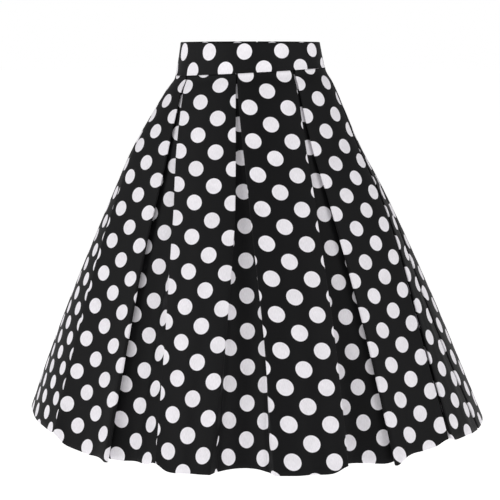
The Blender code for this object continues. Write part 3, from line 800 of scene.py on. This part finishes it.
def lacquerMaterial(name):
    # die-cast zinc in black lacquer: glossy with fine orange peel, rubbed thin to grey metal on its edges
    look, tree, shader = emptyMaterial(name)
    place = addNode(tree, "ShaderNodeTexCoord")
    peel = addNode(tree, "ShaderNodeTexNoise", links={"Vector": place.outputs["Object"]},
                   inputs={"Scale": 1 / (1.5 * mm), "Detail": 2.0})
    rubs = addNode(tree, "ShaderNodeTexNoise", links={"Vector": place.outputs["Object"]},
                   inputs={"Scale": 1 / (4 * mm), "Detail": 4.0, "Roughness": 0.7})
    edges = addNode(tree, "ShaderNodeNewGeometry")
    worn = addNode(tree, "ShaderNodeMath", operation="MULTIPLY_ADD",
                   links={0: edges.outputs["Pointiness"], 2: rubs.outputs["Fac"]}, inputs={1: 0.6})
    wear = addNode(tree, "ShaderNodeMapRange", links={"Value": worn.outputs[0]},
                   inputs={"From Min": 0.88, "From Max": 1.05})
    shade = addNode(tree, "ShaderNodeMix", data_type="RGBA", links={"Factor": wear.outputs[0]})
    shade.inputs["A"].default_value = linear("#161617")
    shade.inputs["B"].default_value = linear("#6e6e72")
    tree.links.new(shade.outputs["Result"], shader.inputs["Base Color"])
    rough = addNode(tree, "ShaderNodeMapRange", links={"Value": rubs.outputs["Fac"]},
                    inputs={"To Min": 0.2, "To Max": 0.45})
    tree.links.new(rough.outputs[0], shader.inputs["Roughness"])
    bump = addNode(tree, "ShaderNodeBump", links={"Height": peel.outputs["Fac"]},
                   inputs={"Strength": 0.15, "Distance": 0.05 * mm})
    tree.links.new(bump.outputs[0], shader.inputs["Normal"])
    shader.inputs["Metallic"].default_value = 0.6
    return look


print("zip: coil, stitches and finishes")
thread = threadMaterial("spun polyester thread, black", "#18181a", 0.75)
nylon = threadMaterial("nylon monofilament coil, black", "#141416", 0.35)
for node, look in (("zip_tape", tapeMaterial()),
                   ("zip_slider", lacquerMaterial("black lacquered zinc, slider")),
                   ("zip_pull_tab", lacquerMaterial("black lacquered zinc, pull"))):
    bpy.data.objects[node].material_slots[0].material = look
tooth, oneStitch = modelTooth(), modelStitch()
places, sewn = [], []
for z in np.arange(zipParts["coilTop"], zipParts["coilBottom"], -zipParts["pitch"]):
    here, below = (backPoint(v, tapeDepth(z) + zipParts["toothRadius"] * 0.9 + 0.25, 0) for v in (z, z - 1))
    if abs(z - zipParts["bandEnd"]) > 3:
        places.append((here, np.array([1.0, 0, 0]), here - below))
for x in zipParts["stitchRows"]:
    for z in np.arange(-6, zipParts["coilBottom"] - 2, -zipParts["stitchStep"]):
        here, below = (backPoint(v, tapeDepth(z) + 0.1, x) for v in (z, z - 1))
        if abs(z - zipParts["bandEnd"]) > 3:
            sewn.append((here, below - here, np.array([0, -1.0, 0])))
copiesOf(tooth, "zipCoil", places, nylon)
copiesOf(oneStitch, "zipStitches", sewn, thread)

print("seams: pressed seam allowances, hem and waistband stitches")
seams = {
    "allowance": 12.0,          # mm each side of a side seam
    "inside": 0.95,             # mm from the panel's middle to the allowance's
    "hemStitch": 9.0, "bandStitch": 6.0,        # mm from stitch to stitch
}


def besideSeam(cut, side):
    # rows of points on the panel beside a side seam, out to the allowance's edge and just inside the cloth
    rows = int(np.searchsorted(-grid[:, cut, 2], form["hemDrop"] * mm - (cloth["hemTurn"] + 4) * mm))
    steps = np.linspace(0.2, seams["allowance"], 6) * mm
    made, madeFlat = [], []
    for r in range(rows):
        columns = np.arange(cut + 1, cut + 9) if side > 0 else np.arange(cut, cut - 8, -1)
        line, out, print_ = grid[r, columns], away[r, columns], flat[r, columns]
        run = np.concatenate([[0], np.cumsum(np.linalg.norm(np.diff(line, axis=0), axis=1))])
        at = [np.array([np.interp(steps, run, v) for v in table.T]).T for table in (line, out, print_)]
        made.append(at[0] - at[1] * seams["inside"] * mm)
        madeFlat.append(at[2] + (0.017, 0))
    return np.array(made)[:, ::side], np.array(madeFlat)[:, ::side]


allowances = {}
for name, cut, side, owner in (("sideSeamAllowanceFrontRight", cuts["D"], 1, "skirtFrontCloth"),
                               ("sideSeamAllowanceBackRight", cuts["D"], -1, "skirtBackRightCloth"),
                               ("sideSeamAllowanceFrontLeft", cuts["E"], -1, "skirtFrontCloth"),
                               ("sideSeamAllowanceBackLeft", cuts["E"], 1, "skirtBackLeftCloth")):
    points, flatPoints = besideSeam(cut, side)
    piece = sheetPiece(name, points, flatPoints, [cottonBack, cottonBack], 0.6 * mm)
    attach(piece, "skirt")
    allowances.setdefault(owner, []).append(piece)

sewn = []
hemTop = turned[-1]
run = np.linalg.norm(np.diff(hemTop, axis=0), axis=1)
reach = 0.0
for c in range(1, len(hemTop) - 1):
    reach += run[c - 1]
    if reach > seams["hemStitch"] * mm and run[c] > 0.5 * mm and run[c - 1] > 0.5 * mm:
        sewn.append((hemTop[c] - away[-1, c] * 0.45 * mm, hemTop[c + 1] - hemTop[c - 1] + (0, 0, 1.2 * mm),
                     -away[-1, c]))
        reach = 0.0
copiesOf(oneStitch, "hemStitches", sewn, thread)
sewn = []
for angle in np.arange(-174, 175, seams["bandStitch"] / 2.1):
    here, ahead = (bandPoint(np.array([a]), 0.97, waistband["inner"] + 0.1)[0] for a in (angle, angle + 0.5))
    sewn.append((here, ahead - here + (0, 0, 0.25 * mm), -np.array([here[0], here[1], 0])))
copiesOf(oneStitch, "waistbandStitches", sewn, thread)
for helper in (tooth, oneStitch):
    bpy.data.objects.remove(helper, do_unlink=True)

studio = {
    "distance": 2.50, "height": 0.035, "azimuth": 8.0, "pitch": 9.27, "lens": 100.58,
    "floorHeight": -1.05,
    "leftPower": 42, "rightPower": 29, "fill": 0.30, "floorGlow": 0.75,
}


def placeCamera():
    a = np.radians(studio["azimuth"])
    data = bpy.data.cameras.new("studioCamera")
    data.lens, data.sensor_width = studio["lens"], 36
    camera = bpy.data.objects.new("studioCamera", data)
    bpy.context.scene.collection.objects.link(camera)
    camera.location = (studio["distance"] * np.sin(a), -studio["distance"] * np.cos(a), studio["height"])
    camera.rotation_euler = (np.radians(90 - studio["pitch"]), 0, a)
    bpy.context.scene.camera = camera


def addLight(name, place, aim, size, power):
    data = bpy.data.lights.new(name, "AREA")
    data.shape, data.size, data.energy = "SQUARE", size, power
    light = bpy.data.objects.new(name, data)
    bpy.context.scene.collection.objects.link(light)
    light.location = place
    direction = np.array(aim) - np.array(place)
    light.rotation_euler = mathutils.Vector(direction).to_track_quat("-Z", "Y").to_euler()


placeCamera()
addLight("softboxLeft", (-2.7, -2.0, 1.2), (0, 0, -0.35), 1.5, studio["leftPower"])
addLight("softboxRight", (2.6, -1.7, 1.0), (0, 0, -0.35), 1.5, studio["rightPower"])
world = bpy.data.worlds.new("paleStudio")
world.use_nodes = True
sky = world.node_tree.nodes["Background"]
sky.inputs["Color"].default_value = (1, 1, 1, 1)
seen = addNode(world.node_tree, "ShaderNodeLightPath")
strength = addNode(world.node_tree, "ShaderNodeMapRange", links={"Value": seen.outputs["Is Camera Ray"]},
                   inputs={"To Min": studio["fill"], "To Max": 1.0})
world.node_tree.links.new(strength.outputs[0], sky.inputs["Strength"])
bpy.context.scene.world = world
deselectAll()
bpy.ops.mesh.primitive_circle_add(vertices=96, radius=30, fill_type="NGON",
                                  location=(0, 0, studio["floorHeight"]))
floor = bpy.context.object
floor.name = "studioFloor"
bpy.ops.object.transform_apply(location=True, rotation=True, scale=True)
floorLook, tree, shader = emptyMaterial("matt white studio floor")
shader.inputs["Base Color"].default_value = linear("#f4f3f2")
shader.inputs["Roughness"].default_value = 0.95
shader.inputs["Emission Color"].default_value = linear("#ffffff")
shader.inputs["Emission Strength"].default_value = studio["floorGlow"]
floor.data.materials.append(floorLook)
bpy.context.scene.view_settings.view_transform = "Standard"
